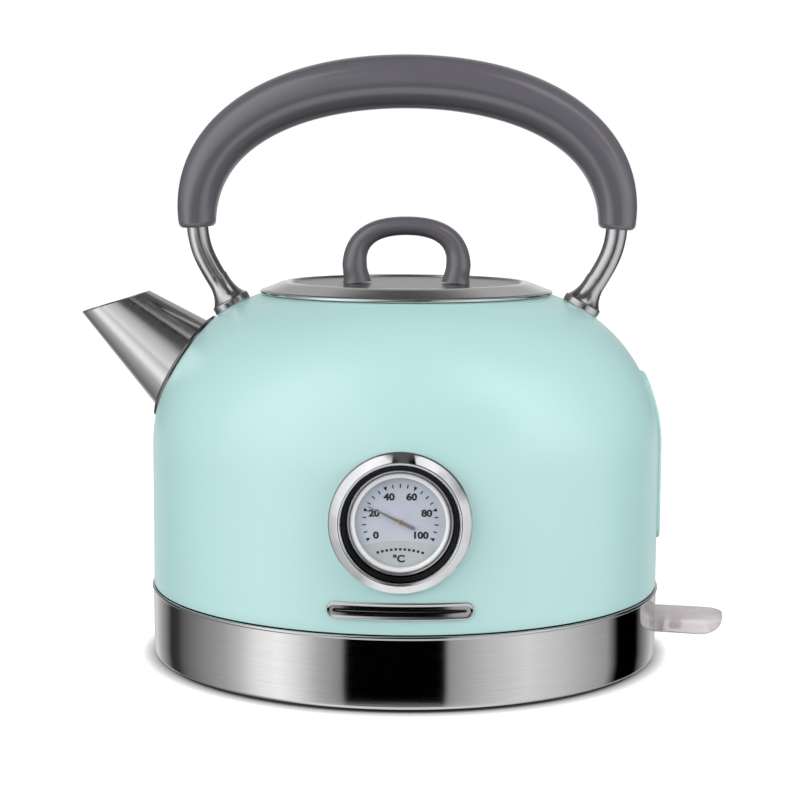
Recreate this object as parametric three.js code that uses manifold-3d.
// Retro dome kettle, electric and cordless: a painted steel vessel on a steel skirt, with a cone
// spout, a fixed bail handle, a lift-off lid, a thermometer and a rocker switch.
// Millimetres, +Z up. The origin is the middle of the footprint, on the surface that it stands on.
// The spout points to -X, the switch to +X and the thermometer to -Y.
import * as THREE from 'three';
import { mergeVertices } from 'three/addons/utils/BufferGeometryUtils.js';
import { ParametricGeometry } from 'three/addons/geometries/ParametricGeometry.js';
import Module from 'manifold-3d';

const wasm = await Module();
wasm.setup();

// ---- Driving dimensions -------------------------------------------------------------------
const GAP = 0.3; // clearance between pieces that touch
const ROUND = 36; // sides of the large turned pieces
const GAUGE_ROUND = 24; // sides of the thermometer's rings
const SMALL_ROUND = 16; // sides of fittings
const SCREW_ROUND = 8; // sides of screws and pins

const BODY_RADIUS = 95;
const SHEET = 0.8; // vessel wall
const SEAM_HEIGHT = 26.8; // lower edge of the painted vessel
const DOME_START = 79.3; // height where the straight wall turns into the dome
const DOME_RADIUS = 58.5;
const DOME_CENTRE_R = BODY_RADIUS - DOME_RADIUS;
const MOUTH_RADIUS = 50;

const SKIRT_RADIUS = 95.7;
const SKIRT_BOTTOM = 0.9;
const FLOOR_HEIGHT = 30;

const LID_RADIUS = 54.8;
const LID_CREST_RADIUS = 44.5;
const LID_CREST_HEIGHT = 139.8;
const LID_DISC_HEIGHT = 139.0;

const FOOT_TILT = THREE.MathUtils.degToRad(29.5); // handle feet stand square on the dome
const BAR_RADIUS = 4;
const GRIP_END = 164; // height where the grip's end faces the bar
const GRIP_SIDE = 78.6;
const GRIP_TOP = 213.85; // centre line at the top
const GRIP_HALF_TOP = 9.95;
const GRIP_HALF_END = 6.8;
const GRIP_RUN_ON = 0.11; // share of the bar's leg that the grip covers as well
const GRIP_DEPTH_TOP = 11.5;
const GRIP_DEPTH_END = 8.2;

const SPOUT_APEX = new THREE.Vector3(-151.1, 0, 163.6); // where the cone's sides would meet
const SPOUT_SLOPE = THREE.MathUtils.degToRad(39.4); // axis below the horizontal
const SPOUT_HALF_ANGLE = THREE.MathUtils.degToRad(12.1);
const SPOUT_SHEET = 0.9;
const SPOUT_TIP = new THREE.Vector3(-122.2, 0, 127.3);
const SPOUT_MOUTH_RISE = THREE.MathUtils.degToRad(18.2);
const SPOUT_HOLE_RADIUS = 15.5;

const GAUGE_HEIGHT = 65;
const GAUGE_RADIUS = 24.6;
const GAUGE_REACH = 99; // front of the bezel, from the kettle's axis
const SHAFT_RADIUS = 0.7;

const WINDOW_LOW = 43.4;
const WINDOW_HIGH = 106.5;
const WINDOW_HALF_WIDTH = 10.5;
const PANE_HALF_WIDTH = 7;

const LEVER_PIVOT = new THREE.Vector3(84, 0, 11.5);
const LEVER_HALF_WIDTH = 11;
const LEVER_TOP = 16.4;
const LEVER_SHOULDER = 12.9;
const LEVER_TIP = 121;
const PLUNGER_X = 60;

// ---- Materials ----------------------------------------------------------------------------
const material = (color, roughness, metalness) =>
  new THREE.MeshStandardMaterial({ color, roughness, metalness });

const PAINT = material(0xb4dbd8, 0.25, 0.0);
const STEEL = material(0xc4c4c6, 0.28, 1.0);
const CHROME = material(0xe2e4e6, 0.08, 1.0);
const GRIP_GREY = material(0x65636a, 0.5, 0.0);
const BLACK_PLASTIC = material(0x1a1a1c, 0.45, 0.0);
const SMOKED = material(0xb9b3b4, 0.25, 0.0);
const CLEAR = material(0xdfe8ea, 0.05, 0.0);
const DIAL_FACE = material(0xc2c8d2, 0.5, 0.2);
const NEEDLE = material(0x55565a, 0.5, 0.3);
const BRASS = material(0xc3a25a, 0.3, 1.0);
const COPPER = material(0xb4704a, 0.35, 1.0);
const ALUMINIUM = material(0xb8babd, 0.4, 1.0);
const SILICONE = material(0xd9dcda, 0.6, 0.0);
const LAMP_RED = material(0xc5432f, 0.3, 0.0);

// ---- Making solids ------------------------------------------------------------------------
function signedVolume(position, triangles) {
  const a = new THREE.Vector3();
  const b = new THREE.Vector3();
  const c = new THREE.Vector3();
  let volume = 0;
  for (let i = 0; i < triangles.length; i += 3) {
    a.fromArray(position, triangles[i] * 3);
    b.fromArray(position, triangles[i + 1] * 3);
    c.fromArray(position, triangles[i + 2] * 3);
    volume += a.dot(b.cross(c)) / 6;
  }
  return volume;
}

// A closed geometry becomes a solid; its faces are turned to point out.
function solid(geometry) {
  const bare = geometry.clone();
  bare.deleteAttribute('normal');
  bare.deleteAttribute('uv');
  const merged = mergeVertices(bare, 1e-4);
  const position = Float32Array.from(merged.attributes.position.array);
  const index = merged.index.array;
  const triangles = [];
  for (let i = 0; i < index.length; i += 3) {
    const [a, b, c] = [index[i], index[i + 1], index[i + 2]];
    if (a !== b && b !== c && c !== a) triangles.push(a, b, c);
  }
  if (signedVolume(position, triangles) < 0) triangles.reverse();
  const triVerts = Uint32Array.from(triangles);
  return new wasm.Manifold(new wasm.Mesh({ numProp: 3, vertProperties: position, triVerts }));
}

function geometryOf(shape) {
  const mesh = shape.getMesh();
  const geometry = new THREE.BufferGeometry();
  geometry.setAttribute('position', new THREE.BufferAttribute(mesh.vertProperties, 3));
  geometry.setIndex(new THREE.BufferAttribute(mesh.triVerts, 1));
  geometry.computeVertexNormals();
  return geometry;
}

// A profile of [radius, height] points turned about Z.
function turned(profile, sides = ROUND) {
  const points = profile.map(([radius, height]) => new THREE.Vector2(radius, height));
  const first = points[0];
  const onAxis = first.x === 0 && points[points.length - 1].x === 0;
  if (!onAxis) points.push(first.clone());
  return new THREE.LatheGeometry(points, sides).rotateX(Math.PI / 2);
}

function ring(inner, outer, low, high, sides = ROUND) {
  return turned([[inner, low], [outer, low], [outer, high], [inner, high]], sides);
}

function rod(radius, low, high, sides = SCREW_ROUND) {
  return turned([[0, low], [radius, low], [radius, high], [0, high]], sides);
}

function box(x0, x1, y0, y1, z0, z1) {
  const geometry = new THREE.BoxGeometry(x1 - x0, y1 - y0, z1 - z0);
  return geometry.translate((x0 + x1) / 2, (y0 + y1) / 2, (z0 + z1) / 2);
}

function roundedRectangle(halfWidth, halfHeight, radius) {
  const shape = new THREE.Shape();
  shape.absarc(halfWidth - radius, halfHeight - radius, radius, 0, Math.PI / 2);
  shape.absarc(radius - halfWidth, halfHeight - radius, radius, Math.PI / 2, Math.PI);
  shape.absarc(radius - halfWidth, radius - halfHeight, radius, Math.PI, Math.PI * 1.5);
  shape.absarc(halfWidth - radius, radius - halfHeight, radius, Math.PI * 1.5, Math.PI * 2);
  return shape;
}

function extruded(shape, depth, curveSegments = 6) {
  return new THREE.ExtrudeGeometry(shape, { depth, bevelEnabled: false, curveSegments });
}

const cut = (geometry, ...tools) =>
  tools.reduce((shape, tool) => shape.subtract(solid(tool)), solid(geometry));

const matrixOf = (position, rotationX, rotationY) =>
  new THREE.Matrix4()
    .makeRotationFromEuler(new THREE.Euler(rotationX, rotationY, 0))
    .setPosition(position);

// ---- The vessel's own surface, used by everything that follows it ---------------------------
// Outline from the wall's foot to a stop angle on the dome, moved outward by an offset.
function vesselOutline(offset, low, stopAngle, steps) {
  const outline = [[BODY_RADIUS + offset, low]];
  for (let i = 0; i <= steps; i += 1) {
    const angle = (stopAngle * i) / steps;
    const reach = DOME_RADIUS + offset;
    outline.push([DOME_CENTRE_R + reach * Math.cos(angle), DOME_START + reach * Math.sin(angle)]);
  }
  return outline;
}

const MOUTH_ANGLE = Math.acos((MOUTH_RADIUS - DOME_CENTRE_R) / DOME_RADIUS);

// A skin between two offsets of the vessel's surface.
function vesselSkin(inner, outer, low, stopAngle, steps = 8) {
  const outside = vesselOutline(outer, low, stopAngle, steps);
  const inside = vesselOutline(inner, low, stopAngle, steps);
  return turned([...outside, ...inside.reverse()]);
}

// The whole space inside an offset of the vessel's surface.
function vesselSpace(offset, low = 0) {
  const outline = vesselOutline(offset, low, MOUTH_ANGLE, 8);
  const top = outline[outline.length - 1][1];
  return turned([[0, low], ...outline, [0, top]]);
}

// ---- Placing matrices -----------------------------------------------------------------------
const GAUGE_PLACE = matrixOf(new THREE.Vector3(0, 0, GAUGE_HEIGHT), Math.PI / 2, 0);
const SPOUT_PLACE = matrixOf(SPOUT_APEX, 0, Math.PI / 2 + SPOUT_SLOPE);

function footPoint(side) {
  const r = DOME_CENTRE_R + DOME_RADIUS * Math.sin(FOOT_TILT);
  return new THREE.Vector3(side * r, 0, DOME_START + DOME_RADIUS * Math.cos(FOOT_TILT));
}

const footPlace = (side) => matrixOf(footPoint(side), 0, side * FOOT_TILT);

// A prism along X with a rounded outline in Y and Z, for the water window's pieces.
function windowPrism(halfWidth, inset, radius) {
  const halfHeight = (WINDOW_HIGH - WINDOW_LOW) / 2 - inset;
  const prism = extruded(roundedRectangle(halfWidth, halfHeight, radius), 40, 4);
  prism.rotateZ(Math.PI / 2).rotateY(Math.PI / 2);
  return prism.translate(65, 0, (WINDOW_LOW + WINDOW_HIGH) / 2);
}

// ---- Vessel -----------------------------------------------------------------------------------
function bodyShell() {
  const skin = vesselSkin(-SHEET, 0, SEAM_HEIGHT, MOUTH_ANGLE);
  const gaugeHole = rod(20.4, 60, 110, SMALL_ROUND).applyMatrix4(GAUGE_PLACE);
  const spoutHole = rod(SPOUT_HOLE_RADIUS, 60, 110, SMALL_ROUND).applyMatrix4(SPOUT_PLACE);
  const paneHole = windowPrism(PANE_HALF_WIDTH + GAP, 3.2, 6);
  const screwHoles = [-1, 1].map((side) => rod(1.9, -6, 6).applyMatrix4(footPlace(side)));
  return cut(skin, gaugeHole, spoutHole, paneHole, ...screwHoles);
}

const STEAM_TUBE = new THREE.Vector3(40, 69.3, 0);

function floorPlate() {
  const edge = BODY_RADIUS - SHEET - GAP;
  const dish = turned([
    [0, FLOOR_HEIGHT], [edge, FLOOR_HEIGHT], [edge, FLOOR_HEIGHT + 6], [edge - 1, FLOOR_HEIGHT + 6],
    [edge - 1, FLOOR_HEIGHT + 1.2], [0, FLOOR_HEIGHT + 1.2],
  ]);
  const tubeHole = rod(6.3, 20, 40, SMALL_ROUND).translate(STEAM_TUBE.x, STEAM_TUBE.y, 0);
  return cut(dish, tubeHole);
}

function steamGrommet() {
  const sleeve = turned([
    [4.3, 28], [8.4, 28], [8.4, FLOOR_HEIGHT - GAP], [6, FLOOR_HEIGHT - GAP],
    [6, FLOOR_HEIGHT + 3], [4.3, FLOOR_HEIGHT + 3],
  ], 16);
  return solid(sleeve);
}

// ---- Heater -----------------------------------------------------------------------------------
const ELEMENT_RADIUS = 58;

function heatingElement() {
  const gapAngle = THREE.MathUtils.degToRad(22);
  const route = new THREE.CatmullRomCurve3(
    Array.from({ length: 17 }, (_, i) => {
      const angle = gapAngle + (i / 16) * (2 * Math.PI - 2 * gapAngle);
      return new THREE.Vector3(ELEMENT_RADIUS * Math.cos(angle), ELEMENT_RADIUS * Math.sin(angle), 22.5);
    })
  );
  const section = new THREE.Shape().absarc(0, 0, 3.2, 0, Math.PI * 2);
  const sheath = new THREE.ExtrudeGeometry(section, {
    steps: 24, bevelEnabled: false, extrudePath: route, curveSegments: 4,
  });
  const terminals = [gapAngle, -gapAngle].map((angle) => {
    const inset = angle * 1.09;
    return rod(1.4, 13, 22).translate(
      ELEMENT_RADIUS * Math.cos(inset), ELEMENT_RADIUS * Math.sin(inset), 0);
  });
  return terminals.reduce((shape, pin) => shape.add(solid(pin)), solid(sheath));
}

// ---- Base -------------------------------------------------------------------------------------
const SCREW_CIRCLE = 84.5;
const COVER_SCREW_ANGLES = [90, 210, 330].map((degrees) => THREE.MathUtils.degToRad(degrees));

const onCircle = (geometry, radius, angle) =>
  geometry.translate(radius * Math.cos(angle), radius * Math.sin(angle), 0);

function skirtRing() {
  const wall = turned([
    [94.3, 26.5], [95.2, 26.5], [SKIRT_RADIUS, 26.1], [SKIRT_RADIUS - 0.05, 25.6], [95.3, 25.1], [95.1, 4],
    [94.7, 2.3], [93.9, 1.3], [92.6, SKIRT_BOTTOM], [92.2, 1.4], [93.2, 3], [93.8, 6], [94.3, 20],
  ]);
  const leverSlot = box(80, 100, -11.8, 11.8, 6, 17.5);
  return cut(wall, leverSlot);
}

function baseFrame() {
  let frame = solid(ring(87, 91.5, 5, 26.2));
  for (const angle of COVER_SCREW_ANGLES) {
    frame = frame.add(solid(onCircle(rod(4, 5, 20, 16), SCREW_CIRCLE, angle)));
    frame = frame.subtract(solid(onCircle(rod(1.7, 4, 16), SCREW_CIRCLE, angle)));
  }
  frame = frame.subtract(solid(box(78, 96, -12.5, 12.5, 5, 18)));
  for (const side of [-1, 1]) {
    const inner = side * 9.3;
    const outer = side * 14;
    const ear = box(79.5, 89.4, Math.min(inner, outer), Math.max(inner, outer), 6, 17.4);
    frame = frame.add(solid(ear));
  }
  const pinHole = rod(1.8, -16, 16).rotateX(Math.PI / 2).translate(LEVER_PIVOT.x, 0, LEVER_PIVOT.z);
  return frame.subtract(solid(pinHole));
}

function bottomCover() {
  const plate = turned([
    [24, 2], [88.6, 2], [89.2, 0], [93.4, 0], [93.4, 0.6], [91.6, 0.9], [91.6, 4.5], [24, 4.5],
  ]);
  const holes = COVER_SCREW_ANGLES.map((angle) => onCircle(rod(1.7, -2, 8), SCREW_CIRCLE, angle));
  return cut(plate, ...holes);
}

function coverScrew() {
  return solid(turned([[0, 0.5], [3, 0.5], [3, 1.7], [1.4, 1.7], [1.4, 14], [0, 14]], SCREW_ROUND));
}

// ---- Cordless inlet and switch ----------------------------------------------------------------
const SOCKET_RADIUS = 20;
const POST_RADIUS = 6.5;

function connectorSocket() {
  return solid(turned([
    [0, 15], [2.4, 15], [2.4, 3.5], [POST_RADIUS, 3.5], [POST_RADIUS, 17], [SOCKET_RADIUS, 17],
    [SOCKET_RADIUS, 1.2], [22.6, 1.2], [22.6, 20], [0, 20],
  ], SMALL_ROUND));
}

const contactPin = () => solid(rod(1.8, 6, 14.7));
const contactRingInner = () => solid(ring(POST_RADIUS + GAP, 7.6, 7, 16.7, SMALL_ROUND));
const contactRingOuter = () => solid(ring(18.9, SOCKET_RADIUS - 0.4, 7, 16.7, SMALL_ROUND));

function controlBody() {
  const hub = ring(23, 34, 5, 22, SMALL_ROUND);
  const arm = box(32, 66, -6, 6, 18, 21);
  const guide = rod(2.6, 10, 30).translate(PLUNGER_X, 0, 0);
  return solid(hub).add(solid(arm)).subtract(solid(guide));
}

function contactPlunger() {
  const stem = turned([[0, 12.9], [3.6, 12.9], [3.6, 13.9], [2.2, 13.9], [2.2, 21.8], [0, 21.8]], 12);
  return solid(stem);
}

function dryBoilDisc() {
  return solid(turned([[0, 24.9], [9, 24.2], [9, 24.7], [0, 25.4]], 12));
}

function steamDisc() {
  return solid(turned([[0, 7.2], [6, 6.7], [6, 7.2], [0, 7.7]], 12));
}

function leverPlan() {
  const shape = new THREE.Shape();
  const corner = 9;
  shape.moveTo(PLUNGER_X - 1, -4);
  shape.lineTo(LEVER_PIVOT.x - 6, -8.5);
  shape.lineTo(93, -8.5);
  shape.lineTo(93, -LEVER_HALF_WIDTH);
  shape.lineTo(LEVER_TIP - corner, -LEVER_HALF_WIDTH);
  shape.quadraticCurveTo(LEVER_TIP, -LEVER_HALF_WIDTH, LEVER_TIP, 0);
  shape.quadraticCurveTo(LEVER_TIP, LEVER_HALF_WIDTH, LEVER_TIP - corner, LEVER_HALF_WIDTH);
  shape.lineTo(93, LEVER_HALF_WIDTH);
  shape.lineTo(93, 8.5);
  shape.lineTo(LEVER_PIVOT.x - 6, 8.5);
  shape.lineTo(PLUNGER_X - 1, 4);
  return shape;
}

function leverSide() {
  const shape = new THREE.Shape();
  shape.moveTo(PLUNGER_X - 2, 9.5);
  shape.lineTo(LEVER_PIVOT.x - 5, 8);
  shape.lineTo(95, 8.5);
  shape.lineTo(111, 7.6);
  shape.quadraticCurveTo(118, 8.5, LEVER_TIP, 13.8);
  shape.quadraticCurveTo(LEVER_TIP - 0.5, 15, LEVER_TIP - 4, 15.4);
  shape.lineTo(95, LEVER_TOP);
  shape.lineTo(LEVER_PIVOT.x - 5, 15);
  shape.lineTo(PLUNGER_X + 6, 12.5);
  shape.lineTo(PLUNGER_X - 2, 12.5);
  return shape;
}

// The back of the paddle is domed from side to side.
function leverDome() {
  const shape = new THREE.Shape();
  shape.moveTo(-LEVER_HALF_WIDTH - 1, 0);
  shape.lineTo(LEVER_HALF_WIDTH + 1, 0);
  shape.lineTo(LEVER_HALF_WIDTH + 1, LEVER_SHOULDER - 1);
  shape.lineTo(LEVER_HALF_WIDTH, LEVER_SHOULDER);
  shape.quadraticCurveTo(LEVER_HALF_WIDTH - 4, LEVER_TOP, 0, LEVER_TOP);
  shape.quadraticCurveTo(4 - LEVER_HALF_WIDTH, LEVER_TOP, -LEVER_HALF_WIDTH, LEVER_SHOULDER);
  shape.lineTo(-LEVER_HALF_WIDTH - 1, LEVER_SHOULDER - 1);
  return shape;
}

function switchLever() {
  const plan = extruded(leverPlan(), 20).translate(0, 0, 3);
  const side = extruded(leverSide(), 30).rotateX(Math.PI / 2).translate(0, 15, 0);
  const pinHole = rod(1.8, -16, 16).rotateX(Math.PI / 2).translate(LEVER_PIVOT.x, 0, LEVER_PIVOT.z);
  const dome = extruded(leverDome(), LEVER_TIP).rotateX(Math.PI / 2).rotateZ(Math.PI / 2);
  const lampPocket = rod(3.2, 0, 13.9).translate(103, 0, 0);
  const paddle = solid(plan).intersect(solid(side)).intersect(solid(dome));
  return paddle.subtract(solid(pinHole)).subtract(solid(lampPocket));
}

function leverPin() {
  return solid(rod(1.45, -11, 11).rotateX(Math.PI / 2));
}

function indicatorLamp() {
  return solid(turned([[0, 8.3], [2.8, 8.3], [2.8, 12.1], [1.9, 13.3], [0, 13.6]], 16));
}

// ---- Steam tube ---------------------------------------------------------------------------------
const steamTube = () => solid(ring(3, 4, 9, 92, 16));

// ---- Water window -------------------------------------------------------------------------------
const WINDOW_STOP = THREE.MathUtils.degToRad(50);

function windowRing(inner, outer, halfWidth, inset, low = 38) {
  const skin = solid(vesselSkin(inner, outer, low, WINDOW_STOP, 6));
  const rim = solid(windowPrism(halfWidth, inset, 7));
  return skin.intersect(rim).subtract(solid(windowPrism(PANE_HALF_WIDTH + GAP, 3.2, 6)));
}

const windowFrame = () => windowRing(GAP, 1.3, WINDOW_HALF_WIDTH, 0);
const windowSeal = () => windowRing(-2.2, -SHEET - GAP, 10, 0.5);
const windowClamp = () => windowRing(-4, -2.5, 10, 0.5);

function windowPane() {
  const skin = solid(vesselSkin(-1.4, 0.9, 38, WINDOW_STOP, 6));
  return skin.intersect(solid(windowPrism(PANE_HALF_WIDTH, 3.5, 5.7)));
}

// ---- Spout --------------------------------------------------------------------------------------
const coneRadius = (distance) => distance * Math.tan(SPOUT_HALF_ANGLE);

function coneBand(inner, outer, near, far) {
  return turned([
    [coneRadius(near) + inner, near], [coneRadius(near) + outer, near],
    [coneRadius(far) + outer, far], [coneRadius(far) + inner, far],
  ], 24).applyMatrix4(SPOUT_PLACE);
}

function spoutCone() {
  const above = box(-60, 80, -30, 30, 0, 60).rotateY(-SPOUT_MOUTH_RISE);
  above.translate(SPOUT_TIP.x, 0, SPOUT_TIP.z);
  return cut(coneBand(-SPOUT_SHEET, 0, 30, 110), above, vesselSpace(GAP));
}

function spoutCollar() {
  const skin = solid(vesselSkin(GAP, 1.4, 60, MOUTH_ANGLE));
  const zone = solid(coneBand(GAP, 3.1, 60, 112));
  const spoutSide = solid(box(-120, 0, -60, 60, 60, 140));
  return skin.intersect(zone).intersect(spoutSide);
}

function spoutFilter() {
  const disc = rod(17, 90.6, 92, SMALL_ROUND);
  const slots = [-2, -1, 0, 1, 2].map((row) => {
    const middle = row * 5.2;
    const reach = Math.sqrt(14.5 ** 2 - (Math.abs(middle) + 1.6) ** 2);
    return box(middle - 1.6, middle + 1.6, -reach, reach, 85, 95);
  });
  return cut(disc, ...slots);
}

// ---- Handle -------------------------------------------------------------------------------------
const vec = (x, z) => new THREE.Vector3(x, 0, z);

// Half of the bar's arch, from the top to the start of its leg.
function gripHalf(side) {
  return new THREE.CubicBezierCurve3(
    vec(0, GRIP_TOP), vec(side * 45.8, GRIP_TOP), vec(side * GRIP_SIDE, 195.35),
    vec(side * GRIP_SIDE, GRIP_END));
}

function barLeg(side, stop) {
  const normal = vec(side * Math.sin(FOOT_TILT), Math.cos(FOOT_TILT));
  const foot = footPoint(side);
  const end = foot.clone().addScaledVector(normal, stop);
  return new THREE.CubicBezierCurve3(
    vec(side * GRIP_SIDE, GRIP_END), vec(side * GRIP_SIDE, GRIP_END - 14.5),
    foot.clone().addScaledVector(normal, 18.6), end);
}

// The first part of a curve, up to the share t.
function startOf(curve, t) {
  const first = curve.v0.clone().lerp(curve.v1, t);
  const middle = curve.v1.clone().lerp(curve.v2, t);
  const last = curve.v2.clone().lerp(curve.v3, t);
  const second = first.clone().lerp(middle, t);
  const end = second.clone().lerp(middle.lerp(last, t), t);
  return new THREE.CubicBezierCurve3(curve.v0, first, second, end);
}

// Half of the grip's centre line: the arch, and the start of the leg.
function gripRun(side) {
  const run = new THREE.CurvePath();
  run.add(gripHalf(side));
  run.add(startOf(barLeg(side, 0.4), GRIP_RUN_ON));
  return run;
}

function reversed(curve) {
  return new THREE.CubicBezierCurve3(curve.v3, curve.v2, curve.v1, curve.v0);
}

function barRoute(stop) {
  const route = new THREE.CurvePath();
  route.add(reversed(barLeg(-1, stop)));
  route.add(reversed(gripHalf(-1)));
  route.add(gripHalf(1));
  route.add(barLeg(1, stop));
  return route;
}

function sweptRound(route, radius, steps) {
  const section = new THREE.Shape().absarc(0, 0, radius, 0, Math.PI * 2);
  return new THREE.ExtrudeGeometry(section, {
    steps, bevelEnabled: false, extrudePath: route, curveSegments: 4,
  });
}

function handleBar() {
  const bores = [-1, 1].map((side) => rod(1.9, -4, 11).applyMatrix4(footPlace(side)));
  return cut(sweptRound(barRoute(0.4), BAR_RADIUS, 30), ...bores);
}

// An oval section swept along a plane curve; its half height and half depth vary along it.
function ovalSweep(pointAt, tangentAt, halfHeight, halfDepth, steps, sides) {
  const surface = (u, v, target) => {
    const row = Math.round(u * steps);
    const s = THREE.MathUtils.clamp((row - 1) / (steps - 2), 0, 1);
    const fill = row === 0 || row === steps ? 0 : 1;
    const tangent = tangentAt(s);
    const across = vec(-tangent.z, tangent.x);
    const angle = v * Math.PI * 2;
    target.copy(pointAt(s)).addScaledVector(across, fill * halfHeight(s) * Math.cos(angle));
    target.y += fill * halfDepth(s) * Math.sin(angle);
  };
  return new ParametricGeometry(surface, steps, sides);
}

// A symmetric arch made of two mirrored halves, run from the -X end to the +X end.
function arch(half) {
  const left = half(-1);
  const right = half(1);
  return {
    pointAt: (s) => (s < 0.5 ? left.getPointAt(1 - s * 2) : right.getPointAt(s * 2 - 1)),
    tangentAt: (s) => (s < 0.5 ? left.getTangentAt(1 - s * 2).negate() : right.getTangentAt(s * 2 - 1)),
  };
}

const fromTop = (s) => Math.abs(2 * s - 1);

function gripHalfShell(front) {
  const { pointAt, tangentAt } = arch(gripRun);
  const height = (s) => THREE.MathUtils.lerp(GRIP_HALF_TOP, GRIP_HALF_END, fromTop(s) ** 3);
  const depth = (s) => THREE.MathUtils.lerp(GRIP_DEPTH_TOP, GRIP_DEPTH_END, fromTop(s) ** 3);
  const skin = ovalSweep(pointAt, tangentAt, height, depth, 22, 10);
  const channel = sweptRound(barRoute(20), BAR_RADIUS + GAP, 26);
  const keep = front ? box(-120, 120, -30, -0.15, 120, 240) : box(-120, 120, 0.15, 30, 120, 240);
  return cut(skin, channel).intersect(solid(keep));
}

function gripScrew() {
  return solid(turned([[0, 5.2], [1.2, 5.2], [1.2, 9.2], [2.4, 9.2], [2.4, 10.6], [0, 10.6]], 10));
}

function handleFoot() {
  return solid(turned([
    [4.35, 0.4], [7.1, 0.4], [7.25, 0.8], [7.25, 2.4], [6.9, 2.8], [5.9, 3.6], [5.2, 5], [4.85, 7.5],
    [4.35, 7.5],
  ], SMALL_ROUND));
}

const footGasket = () => solid(ring(2, 5.5, -2.4, -1.4, 16));

function handleScrew() {
  return solid(turned([[0, -4.8], [4, -4.8], [4, -2.7], [1.5, -2.7], [1.5, 10], [0, 10]], SCREW_ROUND));
}

// ---- Lid ----------------------------------------------------------------------------------------
const LID_SCREW_X = 18.6;

function lidShell() {
  const shell = turned([
    [0, LID_DISC_HEIGHT], [43.6, LID_DISC_HEIGHT], [LID_CREST_RADIUS, LID_CREST_HEIGHT],
    [49.5, 138.9], [53.6, 137.5], [LID_RADIUS, 136.6], [LID_RADIUS, 135.3],
    [53.9, 135.7], [53.3, 136.6], [49.2, 138], [44, 138.8], [43, 138.1], [0, 138.1],
  ]);
  const holes = [-1, 1].map((side) => rod(1.9, 130, 145).translate(side * LID_SCREW_X, 0, 0));
  return cut(shell, ...holes);
}

function lidInner() {
  return solid(turned([
    [0, 122], [44, 122], [46, 124], [46, 126], [48.6, 126], [48.6, 127.2], [46, 127.2], [46, 137],
    [45, 137], [45, 124.6], [43.6, 123.2], [0, 123.2],
  ]));
}

const lidGasket = () => solid(turned([[46.3, 127.5], [48.6, 127.5], [49.4, 129], [48.6, 130.5], [46.3, 130.5]]));

function knobHalf(side) {
  return new THREE.CubicBezierCurve3(
    vec(0, 160.46), vec(side * 12.8, 160.46), vec(side * 19.45, 155.6), vec(side * 19.45, 146));
}

function lidKnob() {
  const { pointAt, tangentAt } = arch(knobHalf);
  const height = (s) => THREE.MathUtils.lerp(3.5, 4.65, fromTop(s) ** 1.85);
  const depth = (s) => THREE.MathUtils.lerp(4.6, 6, fromTop(s) ** 1.85);
  let knob = solid(ovalSweep(pointAt, tangentAt, height, depth, 14, 10));
  for (const side of [-1, 1]) {
    const route = new THREE.CubicBezierCurve3(
      vec(side * 19.45, 146.5), vec(side * 19.45, 144), vec(side * 18.6, 142), vec(side * 18.4, 139.3));
    const leg = ovalSweep(
      (s) => route.getPointAt(s), (s) => route.getTangentAt(s),
      (s) => 4.65 + 0.5 * s * s, (s) => 6 + 0.4 * s, 4, 10);
    const screwBore = rod(1.8, 138, 147.5).translate(side * LID_SCREW_X, 0, 0);
    knob = knob.add(solid(leg)).subtract(solid(screwBore));
  }
  return knob.subtract(solid(box(-40, 40, -20, 20, 130, LID_DISC_HEIGHT + GAP)));
}

function lidScrew() {
  return solid(turned([[0, 135.8], [3.2, 135.8], [3.2, 137.8], [1.5, 137.8], [1.5, 147], [0, 147]], SCREW_ROUND));
}

// ---- Thermometer: turned about its own axis, heights counted outward from the kettle's axis -----
function gaugeBezel() {
  const inner = 20;
  const hoop = turned([
    [inner, 90], [GAUGE_RADIUS, 90], [GAUGE_RADIUS, 97], [24, 98.4], [22, GAUGE_REACH],
    [20.9, 98.9], [inner, 97.8],
  ], GAUGE_ROUND).applyMatrix4(GAUGE_PLACE);
  return cut(hoop, vesselSpace(GAP));
}

const gaugeCup = () => solid(turned([
  [1.3, 83], [19.8, 83], [19.8, 97], [18.3, 97], [18.3, 84.4], [1.3, 84.4],
], GAUGE_ROUND));
const gaugeRing = () => solid(turned([
  [15.3, 93], [18, 93], [18, 94.6], [17, 94.6], [16.8, 95.9], [15.3, 95.9],
], GAUGE_ROUND));
const gaugeDial = () => solid(ring(1.2, 18, 91.6, 92.6, GAUGE_ROUND));
const gaugeGlass = () => solid(rod(15, 94.5, 95.5, GAUGE_ROUND));
const bimetalCoil = () => solid(ring(3, 7, 86.5, 90, SMALL_ROUND));
const probeTube = () => solid(turned([
  [0, 58.5], [2.4, 60], [2.4, 78], [3.4, 78], [3.4, 82.7], [0, 82.7],
], SCREW_ROUND));
const gaugeNut = () => solid(ring(20.2, 25, 84.5, 88, SMALL_ROUND));

function gaugeSeal() {
  const band = ring(20.3, 24.5, 88.3, 96, GAUGE_ROUND).applyMatrix4(GAUGE_PLACE);
  return solid(band).intersect(solid(vesselSpace(-SHEET - GAP, 20)));
}

const POINTER_REST = THREE.MathUtils.degToRad(154.3); // from the +X side, seen from the front

function gaugePointer() {
  const blade = new THREE.Shape();
  blade.moveTo(0, -0.45);
  blade.lineTo(12.2, -0.08);
  blade.lineTo(12.2, 0.08);
  blade.lineTo(0, 0.45);
  blade.lineTo(-5.3, 0.65);
  blade.lineTo(-5.3, -0.65);
  const plate = extruded(blade, 0.5).rotateZ(POINTER_REST).translate(0, 0, 93.2);
  return solid(plate).add(solid(rod(1.2, 93.2, 94.1)));
}

const pointerShaft = () => solid(rod(SHAFT_RADIUS, 86, 92.9));

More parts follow.
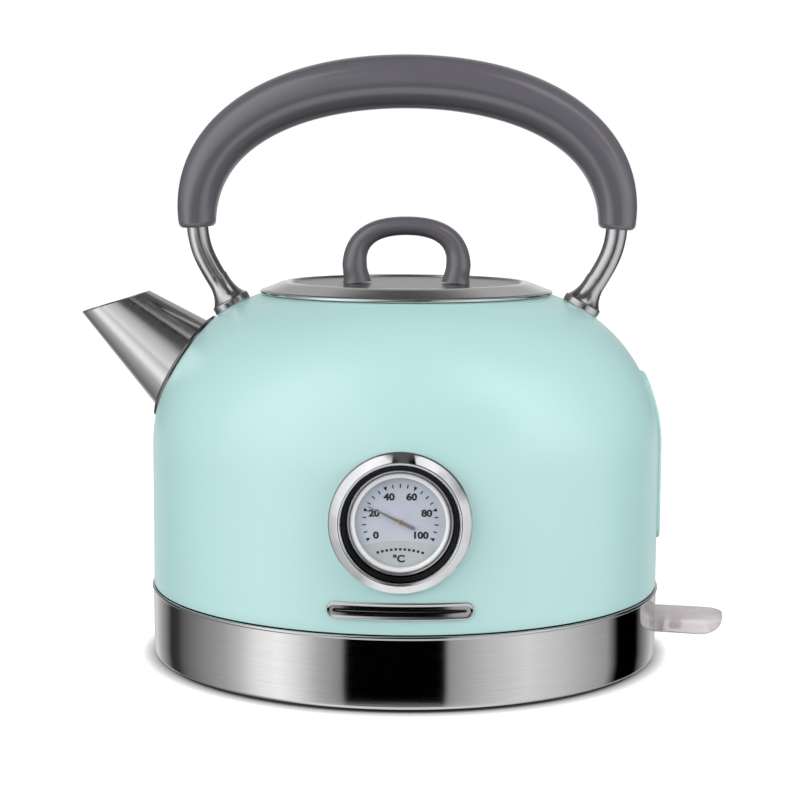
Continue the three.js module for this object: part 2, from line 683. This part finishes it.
// ---- Plain name plate, following the wall ---------------------------------------------------------
function namePlate() {
  const prism = extruded(roundedRectangle(25, 3, 2.9), 60, 4);
  prism.rotateX(Math.PI / 2).translate(0, -60, 35);
  return solid(prism).intersect(solid(vesselSkin(GAP, 1, 28, 0.1, 1)));
}

// ---- The kettle -------------------------------------------------------------------------------------
const kettle = new THREE.Group();

function add(name, shape, finish, parent = kettle) {
  const mesh = new THREE.Mesh(geometryOf(shape), finish);
  mesh.name = name;
  parent.add(mesh);
  return mesh;
}

function placed(matrix) {
  const group = new THREE.Group();
  group.applyMatrix4(matrix);
  kettle.add(group);
  return group;
}

add('body_shell', bodyShell(), PAINT);
add('floor_plate', floorPlate(), STEEL);
add('heat_diffuser', solid(ring(0.5, 71, 26, 29.7)), ALUMINIUM);
add('heating_element', heatingElement(), STEEL);
add('skirt_ring', skirtRing(), STEEL);
add('base_frame', baseFrame(), BLACK_PLASTIC);
add('bottom_cover', bottomCover(), BLACK_PLASTIC);
COVER_SCREW_ANGLES.forEach((angle, i) => {
  const screw = add(`cover_screw_${i + 1}`, coverScrew(), STEEL);
  screw.position.set(SCREW_CIRCLE * Math.cos(angle), SCREW_CIRCLE * Math.sin(angle), 0);
});

add('control_body', controlBody(), BLACK_PLASTIC);
add('connector_socket', connectorSocket(), BLACK_PLASTIC);
add('contact_pin', contactPin(), BRASS);
add('contact_ring_inner', contactRingInner(), BRASS);
add('contact_ring_outer', contactRingOuter(), BRASS);
add('dry_boil_disc', dryBoilDisc(), COPPER).position.set(0, 28, 0);
add('steam_disc', steamDisc(), COPPER).position.copy(STEAM_TUBE);
add('steam_tube', steamTube(), SILICONE).position.copy(STEAM_TUBE);
add('steam_grommet', steamGrommet(), SILICONE).position.copy(STEAM_TUBE);
add('switch_lever', switchLever(), SMOKED);
add('lever_pin', leverPin(), STEEL).position.copy(LEVER_PIVOT);
add('indicator_lamp', indicatorLamp(), LAMP_RED).position.set(103, 0, 0);
add('contact_plunger', contactPlunger(), SILICONE).position.set(PLUNGER_X, 0, 0);

add('window_frame', windowFrame(), PAINT);
add('window_pane', windowPane(), CLEAR);
add('window_seal', windowSeal(), SILICONE);
add('window_clamp', windowClamp(), BLACK_PLASTIC);

add('spout_cone', spoutCone(), STEEL);
add('spout_collar', spoutCollar(), STEEL);
add('spout_filter', spoutFilter(), STEEL, placed(SPOUT_PLACE));

add('handle_bar', handleBar(), STEEL);
add('grip_front', gripHalfShell(true), GRIP_GREY);
add('grip_rear', gripHalfShell(false), GRIP_GREY);
for (const [name, side] of [['left', -1], ['right', 1]]) {
  const foot = placed(footPlace(side));
  add(`foot_${name}`, handleFoot(), STEEL, foot);
  add(`foot_gasket_${name}`, footGasket(), SILICONE, foot);
  add(`handle_screw_${name}`, handleScrew(), STEEL, foot);
}

add('lid_shell', lidShell(), STEEL);
add('lid_inner', lidInner(), STEEL);
add('lid_gasket', lidGasket(), SILICONE);
add('lid_knob', lidKnob(), GRIP_GREY);
for (const [name, side] of [['left', -1], ['right', 1]]) {
  add(`lid_screw_${name}`, lidScrew(), STEEL).position.set(side * LID_SCREW_X, 0, 0);
}

const gauge = placed(GAUGE_PLACE);
add('gauge_bezel', gaugeBezel(), CHROME);
add('gauge_seal', gaugeSeal(), SILICONE);
add('gauge_cup', gaugeCup(), BLACK_PLASTIC, gauge);
add('gauge_ring', gaugeRing(), CHROME, gauge);
add('gauge_dial', gaugeDial(), DIAL_FACE, gauge);
add('gauge_glass', gaugeGlass(), CLEAR, gauge);
add('gauge_pointer', gaugePointer(), NEEDLE, gauge);
add('pointer_shaft', pointerShaft(), BRASS, gauge);
add('bimetal_coil', bimetalCoil(), COPPER, gauge);
add('probe_tube', probeTube(), BRASS, gauge);
add('gauge_nut', gaugeNut(), BLACK_PLASTIC, gauge);

add('name_plate', namePlate(), CHROME);

export default kettle;
